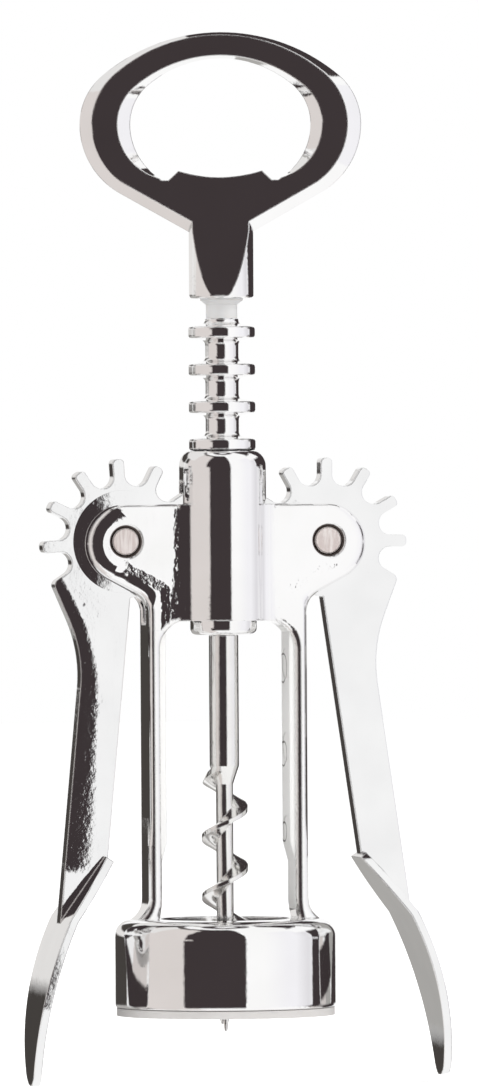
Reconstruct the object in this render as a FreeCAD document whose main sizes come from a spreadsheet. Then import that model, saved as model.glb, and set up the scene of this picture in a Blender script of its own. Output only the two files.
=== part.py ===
import FreeCAD, Part
import math
import os
import Sketcher
from FreeCAD import Rotation, Vector

# Wing corkscrew, in millimetres.
# Origin: middle of the opening that goes over the bottle, +Z up the worm's axis,
# the two arms in the XZ plane, front towards -Y. Drawn with the arms hanging down.

SIZES = {
    # bell and its plastic liner
    "bell_dia": (40.4, "outside of the bell"),
    "bell_height": (16.1, "rim to top of the bell"),
    "bell_wall": (2.2, "side wall of the bell"),
    "bell_roof": (2.6, "thickness of the bell's top"),
    "bell_shoulder": (3.2, "radius of the bell's top edge"),
    "rim_round": (0.8, "radius of the bell's bottom edge"),
    "cork_hole_lip": (0.7, "bell's roof inside the liner's ledge, round the cork's way"),
    "lip_height": (1.4, "liner lip that shows under the bell"),
    "lip_inset": (0.35, "liner lip inside the bell's outer face"),
    "liner_wall": (2.5, "side wall of the liner"),
    "liner_depth": (11.2, "liner above its lip"),
    "liner_ledge": (1.6, "ring that stops on the bottle's lip"),
    "ledge_reach": (3.0, "that ring inward from the liner's bore"),
    # yoke: ears, arch and legs, all one depth
    "yoke_depth": (8.0, "front to back of ears and legs"),
    "pivot_z": (86.2, "arm pivot above the origin"),
    "ear_radius": (7.1, "round end of each ear"),
    "ear_drop": (0.4, "middle of that round end below the pivot"),
    "ear_slope": (28.5, "underside of the ear, degrees from level"),
    "ear_blend": (4.0, "radius where the ear turns into the leg"),
    "leg_x": (13.6, "middle of each leg from the axis"),
    "leg_width": (2.5, "leg from side to side"),
    "leg_round": (1.1, "rounded edges of ears, arch and legs"),
    "foot_flare": (2.2, "outward run of the foot on the bell"),
    "foot_radius": (4.2, "radius of that run"),
    "toe_flare": (0.9, "inner side of the foot, run outward"),
    "arch_z": (71.7, "underside of the arch"),
    "arch_radius": (5.0, "corner of the arch"),
    "pad_width": (6.4, "flat pad along the leg's inner face, front to back"),
    "pad_height": (0.9, "pad proud of the leg"),
    "pad_foot": (28.0, "lower end of the pad"),
    "pad_runout": (3.4, "taper at the pad's lower end"),
    "mark_dia": (5.4, "round moulding marks on the pad"),
    "mark_pitch": (15.2, "spacing of those marks"),
    "mark_depth": (0.15, "depth of those marks"),
    "mark_top": (63.8, "highest mark"),
    # barrel
    "barrel_dia": (15.9, "outside of the barrel"),
    "barrel_length": (30.8, "arch to top of the barrel"),
    "barrel_round": (2.8, "height of the barrel's rounded top"),
    "barrel_mouth": (0.1, "flat left round the bore at the top"),
    "barrel_blend": (4.0, "hollow between ear and barrel"),
    "ring_clearance": (0.3, "rack ring to barrel bore"),
    # pins
    "pin_dia": (4.9, "arm pivot pin"),
    "pin_sink": (0.2, "pin end below the ear's face"),
    "pin_bevel": (0.25, "edge of the pin's end"),
    "ear_bevel": (0.65, "countersink round the pin"),
    "pin_clearance": (0.05, "arm on its pin, radial"),
    # arms
    "plate_thickness": (3.4, "gear and arm plate"),
    "plate_side_gap": (0.25, "plate to ear, each side"),
    "teeth_per_turn": (12.0, "gear teeth in a full turn"),
    "mesh_line": (5.8, "rack's pitch line from its axis"),
    "tooth_top": (2.0, "tooth outside the pitch circle"),
    "tooth_foot": (2.7, "gap inside the pitch circle"),
    "gap_count": (9.0, "gaps cut, the first below the lowest tooth"),
    "tooth_half": (1.08, "half the width of a tooth"),
    "tooth_round": (0.8, "round on a tooth's tip"),
    "slot_clearance": (0.5, "gear tip to the slot it turns in"),
    "arm_slope": (6.8, "arm's lean outward at rest, degrees"),
    "arm_play": (1.45, "lean inside the tooth play, degrees"),
    "arm_inner": (2.1, "arm's inner edge from the pivot line"),
    "arm_outer": (5.65, "arm's outer edge from the pivot line"),
    "heel_past_gap": (9.8, "corner past the last gap's middle, degrees"),
    "heel_round": (1.2, "rounded corner under the last gap"),
    "heel_slope": (28.8, "edge below the heel, degrees from the arm"),
    "neck_radius": (25.0, "hollow between heel and arm"),
    "knee_drop": (57.6, "pivot to where the arm flattens"),
    "paddle_end": (99.8, "pivot to the arm's tip"),
    "paddle_width": (19.0, "widest part of the paddle"),
    "paddle_throat": (4.4, "width of the paddle where it begins"),
    "paddle_tip_radius": (4.2, "round end of the paddle"),
    "tip_lean": (25.0, "paddle's flank beside that round, degrees"),
    "paddle_thickness": (1.5, "thickness of the paddle"),
    "crank_angle": (30.0, "slant of the paddle's upper part, degrees"),
    "crank_length": (13.3, "length of that slant"),
    "bow_angle": (19.0, "lean where the paddle's bow begins, degrees"),
    "bow_end_angle": (-8.0, "lean at the tip, degrees"),
    # rack
    "ring_pitch": (6.8, "spacing of the rack's rings"),
    "ring_dia": (12.2, "rack over its rings"),
    "ring_land": (2.1, "thickness of a ring at its rim"),
    "ring_edge": (0.45, "rounded edges of that rim"),
    "ring_flank": (12.0, "flank of a ring, degrees from level"),
    "ring_hollow": (0.9, "hollow between a ring and the core"),
    "ring_count": (9.0, "rings on the rack"),
    "core_dia": (6.1, "rack between its rings"),
    "collar_height": (3.2, "lowest ring, thicker than the rest"),
    "collar_level": (0.6, "its place in the rings' spacing, above its foot"),
    "collar_round": (1.2, "lower edge of that ring"),
    "rack_bottom": (69.1, "lower end of the rack"),
    "rack_neck": (0.1, "bare core above the top ring's hollow"),
    # worm
    "spindle_dia": (4.0, "upper end that carries rack, sleeve and handle"),
    "spindle_clearance": (0.05, "rack and sleeve on the spindle, radial"),
    "spindle_grip": (10.0, "spindle held in the handle"),
    "end_play": (0.1, "rack between its shoulders"),
    "shaft_dia": (5.4, "bare shaft under the rack"),
    "shaft_length": (23.7, "that shaft down to the worm"),
    "worm_length": (48.3, "worm below the shaft"),
    "worm_tip_dia": (0.5, "blunt point of the worm"),
    "worm_turn": (75.0, "start of the blade, degrees"),
    "worm_dia": (8.4, "worm over its blade"),
    "worm_core_dia": (3.1, "solid core of the worm"),
    "worm_pitch": (10.8, "rise of the blade in a turn"),
    "blade_root": (3.2, "blade where it meets the core"),
    "blade_edge": (0.8, "blade at its edge"),
    "worm_point": (9.5, "tapered end of the worm"),
    "worm_runout": (3.4, "blade growing out of the shaft"),
    # sleeve
    "sleeve_dia": (5.7, "plastic sleeve under the handle"),
    "sleeve_length": (3.6, "length of the sleeve"),
    "flange_dia": (7.8, "its flange under the handle"),
    "flange_edge": (0.3, "rim of the flange"),
    "flange_cone": (0.8, "slope under the flange"),
    # handle
    "neck_dia": (11.8, "round neck of the handle"),
    "neck_length": (12.4, "neck up to the ring"),
    "neck_edge": (0.6, "bottom edge of the neck"),
    "handle_thickness": (5.6, "flat part of the handle"),
    "handle_edge": (2.2, "outer edge of the ring, front to back"),
    "ring_outer_half": (25.6, "ring, half its width"),
    "ring_outer_rise": (16.7, "ring above its widest level"),
    "ring_slope": (29.5, "straight lower sides of the ring, degrees from level"),
    "ring_lower_radius": (14.4, "ring's lower corners"),
    "oval_split": (50.0, "where an oval's side arc meets its top arc, degrees"),
    "stem_half": (5.2, "ring's root in the neck, half its width"),
    "stem_foot": (8.0, "lower end of that root"),
    "handle_turn": (-14.0, "handle turned on the worm's axis, degrees"),
    "tongue_tip": (1.6, "narrow end of the neck's flat, half its width"),
    "tongue_foot": (0.6, "that end above the neck's bottom"),
    "ring_level": (31.7, "widest level above the neck's end"),
    "hole_half": (16.4, "hole, half its width"),
    "hole_rise": (11.9, "hole above the widest level"),
    "outer_bevel": (2.3, "slope outside the flat, at the sides"),
    "inner_bevel": (2.2, "slope inside the flat, at the sides"),
    "top_bevel": (0.5, "both slopes at the top"),
    "slope_bevel": (1.5, "slope outside the flat, on the lower sides"),
    "lifter_half": (7.6, "cap lifter, half its width"),
    "lifter_level": (23.2, "cap lifter's prongs above the neck's end"),
    "lifter_sag": (1.2, "hollow between the prongs"),
    "notch_width": (3.0, "notch beside each prong"),
    "notch_depth": (1.7, "depth of that notch"),
}

doc = FreeCAD.newDocument("wing_corkscrew")
sheet = doc.addObject("Spreadsheet::Sheet", "sizes")
for row, (alias, (number, note)) in enumerate(SIZES.items(), start=1):
    sheet.set(f"A{row}", alias)
    sheet.set(f"B{row}", str(number))
    sheet.set(f"C{row}", note)
    sheet.setAlias(f"B{row}", alias)
doc.recompute()


class Size:
    """A length or angle: its number now, and the expression that gives it."""

    def __init__(self, text, number):
        self.text = text
        self.number = number

    def __add__(self, other):
        other = as_size(other)
        return Size(f"({self.text} + {other.text})", self.number + other.number)

    def __sub__(self, other):
        other = as_size(other)
        return Size(f"({self.text} - {other.text})", self.number - other.number)

    def __mul__(self, other):
        other = as_size(other)
        return Size(f"({self.text} * {other.text})", self.number * other.number)

    def __truediv__(self, other):
        other = as_size(other)
        return Size(f"({self.text} / {other.text})", self.number / other.number)

    def __radd__(self, other):
        return as_size(other) + self

    def __rsub__(self, other):
        return as_size(other) - self

    def __rmul__(self, other):
        return as_size(other) * self

    def __rtruediv__(self, other):
        return as_size(other) / self

    def __neg__(self):
        return as_size(0) - self


def as_size(value):
    if isinstance(value, Size):
        return value
    return Size(f"({float(value):.6f})", float(value))


def size(alias):
    return Size(f"sizes.{alias}", float(sheet.get(alias)))


def cos(angle):
    angle = as_size(angle)
    return Size(f"cos({angle.text})", math.cos(math.radians(angle.number)))


def sin(angle):
    angle = as_size(angle)
    return Size(f"sin({angle.text})", math.sin(math.radians(angle.number)))


def tan(angle):
    angle = as_size(angle)
    return Size(f"tan({angle.text})", math.tan(math.radians(angle.number)))


def root(value):
    return Size(f"sqrt({value.text})", math.sqrt(value.number))


def bind(target, path, value):
    target.setExpression(path, as_size(value).text)


# ---- sketches ----

def new_body(label):
    body = doc.addObject("PartDesign::Body", label)
    body.Label = label
    return body


def plane(body, role):
    return next(item for item in body.Origin.OriginFeatures if item.Role == role)


def new_sketch(body, role, name, lift=None):
    sketch = body.newObject("Sketcher::SketchObject", name)
    sketch.AttachmentSupport = [(plane(body, role), "")]
    sketch.MapMode = "FlatFace"
    if lift is not None:
        bind(sketch, ".AttachmentOffset.Base.z", lift)
    return sketch


def pin_point(sketch, geometry, position, x, y):
    """Ties one point of the sketch to its two coordinates."""
    for kind, value in (("DistanceX", as_size(x)), ("DistanceY", as_size(y))):
        if value.text == "(0.000000)":
            axis = -2 if kind == "DistanceX" else -1
            sketch.addConstraint(Sketcher.Constraint("PointOnObject", geometry, position, axis))
            continue
        index = sketch.addConstraint(
            Sketcher.Constraint(kind, -1, 1, geometry, position, value.number))
        bind(sketch, f"Constraints[{index}]", value)


def add_circle(sketch, x, y, radius):
    x, y, radius = as_size(x), as_size(y), as_size(radius)
    centre = Vector(x.number, y.number, 0)
    index = sketch.addGeometry(Part.Circle(centre, Vector(0, 0, 1), radius.number))
    pin_point(sketch, index, 3, x, y)
    datum = sketch.addConstraint(Sketcher.Constraint("Radius", index, radius.number))
    bind(sketch, f"Constraints[{datum}]", radius)


def arc_middle(start, end, radius):
    """Middle of the short arc from start to end; a radius over 0 bulges to the right."""
    chord = end - start
    side = Vector(chord.y, -chord.x, 0).normalize()
    reach = abs(radius) - math.sqrt(radius * radius - chord.Length ** 2 / 4)
    return (start + end) * 0.5 + side * math.copysign(reach, radius)


def add_outline(sketch, corners):
    """Closed outline. Each corner is (x, y) or (x, y, radius of the arc to the next)."""
    spots = [Vector(as_size(item[0]).number, as_size(item[1]).number, 0) for item in corners]
    edges = []
    for number, item in enumerate(corners):
        start, end = spots[number], spots[(number + 1) % len(spots)]
        if len(item) == 2:
            edges.append((sketch.addGeometry(Part.LineSegment(start, end)), False))
            continue
        radius = as_size(item[2])
        middle = arc_middle(start, end, radius.number)
        arc = Part.Arc(start, middle, end)
        index = sketch.addGeometry(arc)
        # a sketch keeps its arcs counter-clockwise
        turned = (sketch.getPoint(index, 1) - start).Length > 1e-4
        edges.append((index, turned))
        size_now = as_size(radius if radius.number > 0 else -radius)
        datum = sketch.addConstraint(Sketcher.Constraint("Radius", index, size_now.number))
        bind(sketch, f"Constraints[{datum}]", size_now)
    for number, item in enumerate(corners):
        index, turned = edges[number]
        after, after_turned = edges[(number + 1) % len(edges)]
        end = 1 if turned else 2
        start = 2 if after_turned else 1
        sketch.addConstraint(Sketcher.Constraint("Coincident", index, end, after, start))
        pin_point(sketch, index, 2 if turned else 1, item[0], item[1])


# ---- features ----

def pad(body, sketch, name, length, symmetric=True, reverse=False):
    feature = body.newObject("PartDesign::Pad", name)
    feature.Profile = sketch
    feature.SideType = "Symmetric" if symmetric else "One side"
    feature.Reversed = reverse
    bind(feature, "Length", length)
    doc.recompute()
    return feature


def pocket(body, sketch, name, length=None, symmetric=True, reverse=False):
    feature = body.newObject("PartDesign::Pocket", name)
    feature.Profile = sketch
    feature.SideType = "Symmetric" if symmetric else "One side"
    feature.Reversed = reverse
    if length is None:
        feature.Type = "ThroughAll"
    else:
        bind(feature, "Length", length)
    doc.recompute()
    return feature


def revolve(body, sketch, name, cut=False):
    kind = "PartDesign::Groove" if cut else "PartDesign::Revolution"
    feature = body.newObject(kind, name)
    feature.Profile = sketch
    feature.ReferenceAxis = (sketch, ["V_Axis"])
    feature.Angle = 360
    doc.recompute()
    return feature


def mirror(body, original, name):
    feature = body.newObject("PartDesign::Mirrored", name)
    feature.Originals = [original]
    feature.MirrorPlane = (plane(body, "YZ_Plane"), [""])
    body.Tip = feature
    doc.recompute()
    return feature


def edge_names(feature, wanted):
    return [f"Edge{number}" for number, edge in enumerate(feature.Shape.Edges, start=1)
            if wanted(edge)]


def fillet(body, base, name, radius, wanted):
    feature = body.newObject("PartDesign::Fillet", name)
    feature.Base = (base, edge_names(base, wanted))
    bind(feature, "Radius", radius)
    doc.recompute()
    return feature


def chamfer(body, base, name, reach, wanted):
    feature = body.newObject("PartDesign::Chamfer", name)
    feature.Base = (base, edge_names(base, wanted))
    bind(feature, "Size", reach)
    doc.recompute()
    return feature


def lies_on(edge, axis, level, slack=1e-4):
    """True where the whole edge lies on the plane axis = level."""
    ends = edge.BoundBox
    low, high = getattr(ends, axis + "Min"), getattr(ends, axis + "Max")
    return abs(low - level) < slack and abs(high - level) < slack


def is_circle(edge, radius):
    return edge.Curve.TypeId == "Part::GeomCircle" and abs(edge.Curve.Radius - radius) < 1e-4


# ---- frame: bell, legs, arch, ears and barrel in one casting ----


def yoke_outline():
    """Right half of ears, arch and leg, seen from the front."""
    slope = size("ear_slope")
    ear_z = size("pivot_z") - size("ear_drop")
    tangent_x = pivot_x + size("ear_radius") * sin(slope)
    tangent_z = ear_z - size("ear_radius") * cos(slope)
    corner_z = tangent_z - (tangent_x - leg_outer) * tan(slope)
    reach = size("ear_blend") * tan((90 - slope) / 2)
    foot_z = bell_top - size("bell_roof") / 2
    foot_rise = root(size("foot_flare") * (2 * size("foot_radius") - size("foot_flare")))
    toe = size("toe_flare")
    toe_rise = bell_top + foot_rise - foot_z
    toe_radius = (toe_rise * toe_rise + toe * toe) / (2 * toe)
    return [
        (0, size("arch_z")),
        (0, ear_top),
        (pivot_x, ear_top, -size("ear_radius")),
        (pivot_x + size("ear_radius"), ear_z, -size("ear_radius")),
        (tangent_x, tangent_z),
        (leg_outer + reach * cos(slope), corner_z + reach * sin(slope), size("ear_blend")),
        (leg_outer, corner_z - reach),
        (leg_outer, bell_top + foot_rise, size("foot_radius")),
        (leg_outer + size("foot_flare"), bell_top),
        (leg_outer + size("foot_flare"), foot_z),
        (leg_inner + toe, foot_z, -toe_radius),
        (leg_inner, bell_top + foot_rise),
        (leg_inner, size("arch_z") - size("arch_radius"), size("arch_radius")),
        (leg_inner - size("arch_radius"), size("arch_z")),
    ]


def build_frame():
    body = new_body("frame")
    half_depth = size("yoke_depth") / 2

    side = new_sketch(body, "XZ_Plane", "yoke_outline")
    add_outline(side, yoke_outline())
    right = pad(body, side, "yoke_right", size("yoke_depth"))
    yoke = mirror(body, right, "yoke")

    def on_front_or_back(edge):
        level = half_depth.number
        return lies_on(edge, "Y", level) or lies_on(edge, "Y", -level)

    def above_foot(edge):
        foot_top = bell_top.number + size("foot_radius").number
        return on_front_or_back(edge) and edge.BoundBox.ZMax > foot_top

    fillet(body, yoke, "yoke_edges", size("leg_round"), above_foot)

    tube = new_sketch(body, "XZ_Plane", "barrel_profile")
    barrel_r = size("barrel_dia") / 2
    barrel_top = size("arch_z") + size("barrel_length")
    mouth_r = bore_r + size("barrel_mouth")
    rounded, inward = size("barrel_round"), barrel_r - mouth_r
    add_outline(tube, [
        (0, size("arch_z")),
        (barrel_r, size("arch_z")),
        (barrel_r, barrel_top - rounded, (inward * inward + rounded * rounded) / (2 * inward)),
        (mouth_r, barrel_top),
        (0, barrel_top),
    ])
    revolve(body, tube, "barrel")

    blend = size("barrel_blend")
    reach, depth = barrel_r + blend, half_depth + blend
    flat_x = root(reach * reach - depth * depth)
    round_x, round_y = flat_x * barrel_r / reach, depth * barrel_r / reach
    hollows = new_sketch(body, "XY_Plane", "barrel_hollows", size("arch_z"))
    for sign in (1, -1):
        add_outline(hollows, [
            (flat_x, sign * half_depth, sign * -blend),
            (round_x, sign * round_y),
            (round_x, sign * half_depth / 2),
            (flat_x, sign * half_depth / 2),
        ])
    right_hollows = pad(body, hollows, "blend_right", ear_top - size("arch_z"), symmetric=False)
    mirror(body, right_hollows, "barrel_blends")

    cup = new_sketch(body, "XZ_Plane", "bell_profile")
    inner_r = bell_r - size("bell_wall")
    cork_r = ledge_r - size("cork_hole_lip")
    roof = bell_top - size("bell_roof")
    rim = size("lip_height")
    add_outline(cup, [
        (cork_r, roof),
        (inner_r, roof),
        (inner_r, rim),
        (bell_r - size("rim_round"), rim, size("rim_round")),
        (bell_r, rim + size("rim_round")),
        (bell_r, bell_top - size("bell_shoulder"), size("bell_shoulder")),
        (bell_r - size("bell_shoulder"), bell_top),
        (cork_r, bell_top),
    ])
    revolve(body, cup, "bell")

    slot = new_sketch(body, "XZ_Plane", "gear_slot_circle")
    add_circle(slot, pivot_x, size("pivot_z"), slot_radius)
    right_slot = pocket(body, slot, "gear_slot_right", slot_width)
    mirror(body, right_slot, "gear_slots")

    bore = new_sketch(body, "XY_Plane", "rack_bore_circle", size("arch_z"))
    add_circle(bore, 0, 0, bore_r)
    pocket(body, bore, "rack_bore", size("barrel_length"), symmetric=False, reverse=True)

    hole = new_sketch(body, "XZ_Plane", "pin_hole_circle")
    add_circle(hole, pivot_x, size("pivot_z"), size("pin_dia") / 2)
    right_hole = pocket(body, hole, "pin_hole_right", size("yoke_depth"))
    holes = mirror(body, right_hole, "pin_holes")

    def pin_rim(edge):
        return is_circle(edge, size("pin_dia").number / 2) and on_front_or_back(edge)

    chamfer(body, holes, "pin_countersinks", size("ear_bevel"), pin_rim)

    rib = new_sketch(body, "XZ_Plane", "pad_outline")
    pad_face = leg_inner - size("pad_height")
    pad_back = leg_inner + size("leg_width") / 2
    pad_top = size("arch_z") - size("arch_radius") / 3
    add_outline(rib, [
        (pad_face, size("pad_foot") + size("pad_runout")),
        (pad_face, pad_top),
        (pad_back, pad_top),
        (pad_back, size("pad_foot")),
        (leg_inner, size("pad_foot")),
    ])
    right_pad = pad(body, rib, "leg_pad_right", size("pad_width"))
    mirror(body, right_pad, "leg_pads")

    marks = new_sketch(body, "YZ_Plane", "mark_circles", pad_face)
    for number in range(3):
        add_circle(marks, 0, size("mark_top") - number * size("mark_pitch"), size("mark_dia") / 2)
    right_marks = pocket(body, marks, "marks_right", size("mark_depth"),
                         symmetric=False, reverse=True)
    mirror(body, right_marks, "marks")
    return body


# ---- liner: plastic cup in the bell, over the bottle's lip ----

def build_liner():
    body = new_body("bell_liner")
    cup = new_sketch(body, "XZ_Plane", "liner_profile")
    outer = bell_r - size("bell_wall")
    lip_top = size("lip_height")
    top = lip_top + size("liner_depth")
    add_outline(cup, [
        (bottle_r, 0),
        (bell_r - size("lip_inset"), 0),
        (bell_r - size("lip_inset"), lip_top),
        (outer, lip_top),
        (outer, top),
        (ledge_r, top),
        (ledge_r, top - size("liner_ledge")),
        (bottle_r, top - size("liner_ledge")),
    ])
    revolve(body, cup, "liner")
    return body


# ---- pins ----

def build_pin(label, side):
    body = new_body(label)
    length = size("yoke_depth") - 2 * size("pin_sink")
    end = new_sketch(body, "XZ_Plane", label + "_circle")
    add_circle(end, 0, 0, size("pin_dia") / 2)
    rod = pad(body, end, label + "_rod", length)
    half = length.number / 2
    chamfer(body, rod, label + "_bevels", size("pin_bevel"),
            lambda edge: lies_on(edge, "Y", half) or lies_on(edge, "Y", -half))
    bind(body, ".Placement.Base.x", side * pivot_x)
    bind(body, ".Placement.Base.z", size("pivot_z"))
    return body


# ---- rack: round rack of rings on a core, bored for the spindle ----

def ring_side(edge_z, sign):
    """From a ring's rim in to the core: ends of the hollow, sign 1 on the ring's upper side."""
    core_r, rim_r = size("core_dia") / 2, size("ring_dia") / 2 - size("ring_edge")
    slope = size("ring_flank")
    reach = size("ring_hollow") * tan((90 - slope) / 2)
    corner_z = edge_z + sign * ((rim_r - core_r) * tan(slope))
    outer = (core_r + reach * cos(slope), corner_z - sign * (reach * sin(slope)))
    return outer, (core_r, corner_z + sign * reach)


def build_rack():
    body = new_body("rack")
    core_r = size("core_dia") / 2
    ring_r = size("ring_dia") / 2
    edge, hollow = size("ring_edge"), size("ring_hollow")
    bore_radius = size("spindle_dia") / 2 + size("spindle_clearance")

    core = new_sketch(body, "XZ_Plane", "core_profile")
    add_outline(core, [
        (bore_radius, 0),
        (core_r, 0),
        (core_r, rack_length),
        (bore_radius, rack_length),
    ])
    revolve(body, core, "core")

    collar = new_sketch(body, "XZ_Plane", "collar_profile")
    collar_top = size("collar_height")
    heart = bore_radius + core_r / 8
    above, above_end = ring_side(collar_top, 1)
    add_outline(collar, [
        (heart, 0),
        (ring_r - size("collar_round"), 0, size("collar_round")),
        (ring_r, size("collar_round")),
        (ring_r, collar_top - edge, edge),
        (ring_r - edge, collar_top),
        above + (-hollow,),
        above_end,
        (heart, above_end[1]),
    ])
    revolve(body, collar, "collar")

    ring = new_sketch(body, "XZ_Plane", "ring_profile")
    middle = size("collar_level") + size("ring_pitch")
    low, high = middle - size("ring_land") / 2, middle + size("ring_land") / 2
    below, below_end = ring_side(low, -1)
    above, above_end = ring_side(high, 1)
    add_outline(ring, [
        (heart, below_end[1]),
        below_end + (-hollow,),
        below,
        (ring_r - edge, low, edge),
        (ring_r, low + edge),
        (ring_r, high - edge, edge),
        (ring_r - edge, high),
        above + (-hollow,),
        above_end,
        (heart, above_end[1]),
    ])
    second = revolve(body, ring, "second_ring")

    rings = body.newObject("PartDesign::LinearPattern", "rings")
    rings.Originals = [second]
    rings.Direction = (plane(body, "Z_Axis"), [""])
    rings.Mode = "Spacing"
    bind(rings, "Offset", size("ring_pitch"))
    bind(rings, "Occurrences", size("ring_count") - 1)
    body.Tip = rings
    bind(body, ".Placement.Base.z", size("rack_bottom"))
    doc.recompute()
    return body


# ---- arms: a geared plate that turns into a paddle ----

def gear_spot(side, angle, radius):
    """Point of the gear; the angle starts at the rack and goes over the top."""
    return (-side * radius * cos(angle), radius * sin(angle))


def add_gap(sketch, side, angle):
    """Space between two teeth: a round bottom and flanks along the teeth beside it."""
    half_step = 180 / size("teeth_per_turn")
    round_off = (root_radius * sin(half_step) - size("tooth_half")) / (1 - sin(half_step))
    middle_x, middle_z = gear_spot(side, angle, root_radius + round_off)
    corners = []
    for sign in (1, -1):
        flank = angle + sign * half_step
        near_x = middle_x + side * sign * round_off * sin(flank)
        near_z = middle_z + sign * round_off * cos(flank)
        far_x, far_z = gear_spot(side, flank, 3 * round_off)
        corners.append(((near_x, near_z), (near_x + far_x, near_z + far_z)))
    (near_a, far_a), (near_b, far_b) = corners
    add_outline(sketch, [
        far_a,
        (near_a[0], near_a[1], -side * round_off),
        near_b,
        far_b,
    ])


def knee_and_bend():
    """Upper and lower end of the slant in the paddle's middle line."""
    knee = (-size("arm_inner"), -size("knee_drop"))
    bend = (knee[0] + size("crank_length") * sin(size("crank_angle")),
            knee[1] - size("crank_length") * cos(size("crank_angle")))
    return knee, bend


def add_ribbon(sketch, side):
    """The paddle's sheet seen from its edge: a slant, then a bow down to the tip."""
    knee, bend = knee_and_bend()
    half = size("paddle_thickness") / 2
    crank, start, finish = size("crank_angle"), size("bow_angle"), size("bow_end_angle")
    middle = (crank + start) / 2
    bow = (size("paddle_end") + bend[1]) / (sin(start) - sin(finish))
    tip = (bend[0] + bow * (cos(finish) - cos(start)), -size("paddle_end"))

    def beside(spot, lean, sign):
        return (side * (spot[0] + sign * half * cos(lean)), spot[1] + sign * half * sin(lean))

    add_outline(sketch, [
        beside(knee, crank, -1),
        beside(bend, middle, -1) + (-side * (bow - half),),
        beside(tip, finish, -1),
        beside(tip, finish, 1) + (side * (bow + half),),
        beside(bend, middle, 1),
        beside(knee, crank, 1),
    ])


def add_leaf_cut(sketch):
    """What is cut off the sheet on both sides to leave the leaf of the paddle."""
    wide = size("paddle_width") / 2
    throat = size("paddle_throat") / 2
    tip_r, lean = size("paddle_tip_radius"), size("tip_lean")
    end = -size("paddle_end")
    flank_r = (wide - tip_r * cos(lean)) / (1 - cos(lean))
    tail_z = end + tip_r - tip_r * sin(lean)
    shoulder = tail_z + flank_r * sin(lean)
    top = size("paddle_thickness") - size("knee_drop")
    rise = top - shoulder
    reach = wide - throat
    crown_r = (rise * rise + reach * reach) / (2 * reach)
    margin = size("paddle_thickness")
    for sign in (1, -1):
        add_outline(sketch, [
            (sign * throat, top),
            (sign * (wide + margin), top),
            (sign * (wide + margin), end - margin),
            (0, end - margin),
            (0, end, -sign * -tip_r),
            (sign * tip_r * cos(lean), tail_z, -sign * -flank_r),
            (sign * wide, shoulder, -sign * -crown_r),
        ])


def add_arm_outline(sketch, side):
    """Gear blank and arm bar, down to the paddle's middle line."""
    knee, bend = knee_and_bend()
    third = (heel_angle - first_gap) / 3
    slope = size("heel_slope")
    outer = size("arm_outer")
    heel_x, heel_z = gear_spot(1, heel_angle, tip_radius)
    corner_z = heel_z - (heel_x - outer) / tan(slope)
    reach = size("neck_radius") * tan(slope / 2)
    web_end = bend[1] - (outer - bend[0]) / tan(size("bow_angle"))
    add_outline(sketch, [
        (0, 0),
        gear_spot(side, first_gap, tip_radius) + (side * -tip_radius,),
        gear_spot(side, first_gap + third, tip_radius) + (side * -tip_radius,),
        gear_spot(side, first_gap + 2 * third, tip_radius) + (side * -tip_radius,),
        gear_spot(side, heel_angle, tip_radius),
        (side * (outer + reach * sin(slope)), corner_z + reach * cos(slope),
         side * size("neck_radius")),
        (side * outer, corner_z - reach),
        (side * outer, web_end),
        (side * bend[0], bend[1]),
        (side * knee[0], knee[1]),
        (side * knee[0], 0),
    ])


def build_arm(label, side):
    """Drawn with the pivot at the body's own origin and the arm hanging straight down."""
    body = new_body(label)

    ribbon = new_sketch(body, "XZ_Plane", label + "_ribbon")
    add_ribbon(ribbon, side)
    pad(body, ribbon, label + "_sheet", size("paddle_width"))

    leaf = new_sketch(body, "YZ_Plane", label + "_leaf")
    add_leaf_cut(leaf)
    pocket(body, leaf, label + "_leaf_cut")

    plate = new_sketch(body, "XZ_Plane", label + "_plate")
    add_arm_outline(plate, side)
    pad(body, plate, label + "_bar", size("plate_thickness"))

    gap = new_sketch(body, "XZ_Plane", label + "_gap")
    add_gap(gap, side, first_gap)
    cut = pocket(body, gap, label + "_first_gap", size("plate_thickness") * 1.2)
    teeth = body.newObject("PartDesign::PolarPattern", label + "_gaps")
    teeth.Originals = [cut]
    teeth.Axis = (plane(body, "Y_Axis"), [""])
    teeth.Reversed = side < 0
    teeth.Mode = "Spacing"
    bind(teeth, "Offset", 360 / size("teeth_per_turn"))
    bind(teeth, "Occurrences", size("gap_count"))
    body.Tip = teeth
    doc.recompute()

    def off_tip_circle(edge):
        """How far a front-to-back edge lies from the gear's tip circle."""
        spread = edge.BoundBox
        if spread.XLength > 1e-4 or spread.ZLength > 1e-4:
            return math.inf
        middle = edge.CenterOfMass
        return abs(math.hypot(middle.x, middle.z) - tip_radius.number)

    heel = fillet(body, teeth, label + "_heel_round", size("heel_round"),
                  lambda edge: 1e-3 < off_tip_circle(edge) < 0.5)
    fillet(body, heel, label + "_tooth_rounds", size("tooth_round"),
           lambda edge: off_tip_circle(edge) < 1e-3)

    root_disc = new_sketch(body, "XZ_Plane", label + "_root")
    add_circle(root_disc, 0, 0, root_radius)
    pad(body, root_disc, label + "_hub", size("plate_thickness"))

    bore = new_sketch(body, "XZ_Plane", label + "_bore")
    add_circle(bore, 0, 0, size("pin_dia") / 2 + size("pin_clearance"))
    pocket(body, bore, label + "_pin_bore", size("plate_thickness") * 1.2)

    # the play in the teeth lets both arms swing the same way, to the right
    lean = size("arm_slope") + side * size("arm_play")
    body.Placement.Rotation = Rotation(Vector(0, -side, 0), lean.number)
    bind(body, ".Placement.Rotation.Angle", lean)
    bind(body, ".Placement.Base.x", side * pivot_x)
    bind(body, ".Placement.Base.z", size("pivot_z"))
    doc.recompute()
    return body


# ---- worm: a spindle above, a bare shaft, and a solid core with one blade below ----

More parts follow.
